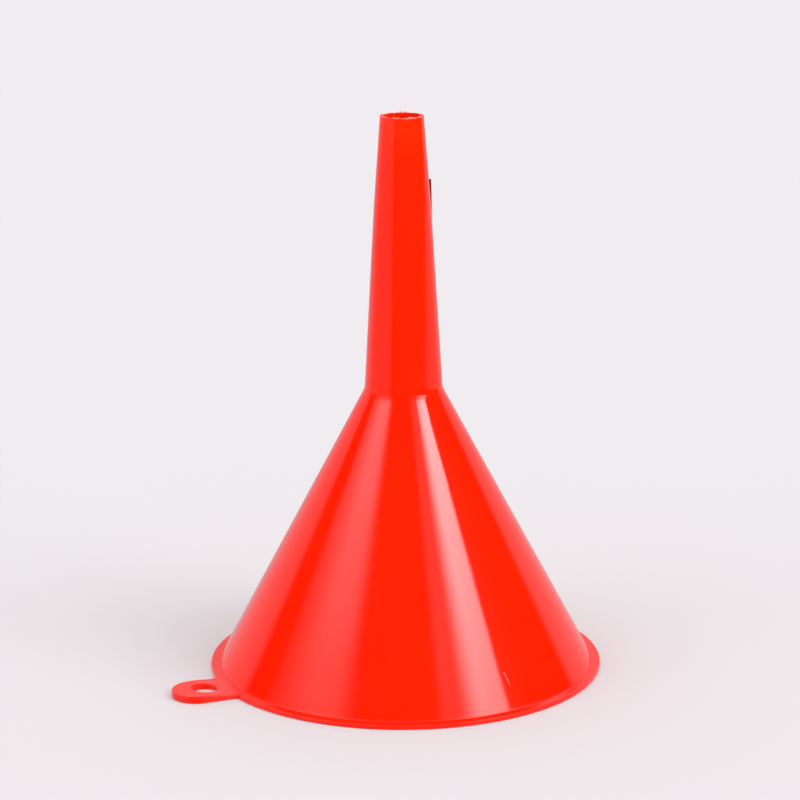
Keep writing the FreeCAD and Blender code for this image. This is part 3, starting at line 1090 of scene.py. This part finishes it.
def key_light(graph, direction, azimuth, elevation, strength):
    """A broad soft light that the floor and the plastic's own colour receive."""
    turn, rise = math.radians(azimuth), math.radians(elevation)
    centre = (math.sin(turn) * math.cos(rise), -math.cos(turn) * math.cos(rise), math.sin(rise))
    nearness = graph.vector("DOT_PRODUCT", direction, centre)
    edge, core = (math.cos(math.radians(angle)) for angle in KEY_SPREAD)
    return graph.math("MULTIPLY", graph.ramp(nearness, edge, core), strength)


def background(graph, tone, strength=1.0):
    made = graph.node("ShaderNodeBackground")
    graph.link(tone, made.inputs["Color"])
    graph.link(strength, made.inputs["Strength"])
    return made.outputs[0]


def either(graph, share, first, second):
    """The first shader where share is 0, the second where it is 1."""
    made = graph.node("ShaderNodeMixShader")
    for k, value in enumerate((share, first, second)):
        graph.link(value, made.inputs[k])
    return made.outputs[0]


def make_light():
    """Room light with two broad key lights. The plastic's gloss sees softboxes, walls and floor instead."""
    world = bpy.data.worlds.new("studio")
    world.use_nodes = True
    graph = Graph(world.node_tree)
    turn = graph.node("ShaderNodeVectorRotate", rotation_type="Z_AXIS")
    graph.link(graph.node("ShaderNodeTexCoord").outputs["Generated"], turn.inputs["Vector"])
    turn.inputs["Angle"].default_value = -math.radians(CAMERA_AZIMUTH)
    direction = turn.outputs[0]
    x, y, z = graph.parts(direction)
    azimuth = graph.math("DEGREES", graph.math("ARCTAN2", x, graph.math("MULTIPLY", y, -1.0)))
    elevation = graph.math("DEGREES", graph.math("ARCSINE", z))
    mirrored = back_wall(graph, azimuth, elevation)
    mirrored = graph.math("MAXIMUM", mirrored, side_floor(graph, azimuth, elevation))
    for box in SOFTBOXES:
        mirrored = graph.math("ADD", mirrored, softbox(graph, azimuth, elevation, **box))
    received = ROOM_LIGHT
    for key in KEY_LIGHTS:
        received = graph.math("ADD", key_light(graph, direction, *key), received)
    path = graph.node("ShaderNodeLightPath")
    room = background(graph, ROOM_TONE, received)
    gloss = background(graph, GLOSS_TONE, mirrored)
    unseen = either(graph, path.outputs["Is Glossy Ray"], room, gloss)
    seen = background(graph, BACKDROP_TONE)
    output = graph.node("ShaderNodeOutputWorld")
    graph.link(either(graph, path.outputs["Is Camera Ray"], unseen, seen), output.inputs["Surface"])
    world.cycles.sampling_method = "NONE"
    bpy.context.scene.world = world


def make_camera():
    """The camera stands back from the funnel at its azimuth and rise, and looks slightly down."""
    data = bpy.data.cameras.new("main_camera")
    data.sensor_width = CAMERA_SENSOR_MM
    data.lens = CAMERA_LENS_MM
    data.clip_start = 0.05
    data.clip_end = 30.0
    camera = bpy.data.objects.new("main_camera", data)
    around = math.radians(CAMERA_AZIMUTH)
    rise = math.radians(CAMERA_RISE)
    level = CAMERA_DISTANCE * math.cos(rise)
    height = CAMERA_DISTANCE * math.sin(rise)
    place = Vector((math.sin(around) * level, -math.cos(around) * level, height))
    heading = Matrix.Rotation(math.radians(CAMERA_AZIMUTH - CAMERA_YAW), 4, "Z")
    tilt = Matrix.Rotation(math.radians(90 - CAMERA_TILT), 4, "X")
    roll = Matrix.Rotation(math.radians(CAMERA_ROLL), 4, "Z")
    camera.matrix_world = Matrix.Translation(place) @ heading @ tilt @ roll
    bpy.context.scene.collection.objects.link(camera)
    bpy.context.scene.camera = camera


make_camera()
bpy.context.scene.view_settings.view_transform = "Standard"
plastic = make_plastic("red_plastic_gloss", 0.0)
trimmed = make_plastic("red_plastic_stressed", FLASH_WHITENING)
# The level where the painted shade on the rib's -Y flank sets in.
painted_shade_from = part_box("vent_rib")[1].z - PAINTED_SHADE_DEPTH
tab_plan = TabPlan()
make_walls(tab_plan, plastic)
make_tab(tab_plan, plastic)
make_rib(make_plastic("red_plastic_painted_shade_flank", 0.0, painted_shade_from))
make_flash(trimmed)
make_floor()
make_light()
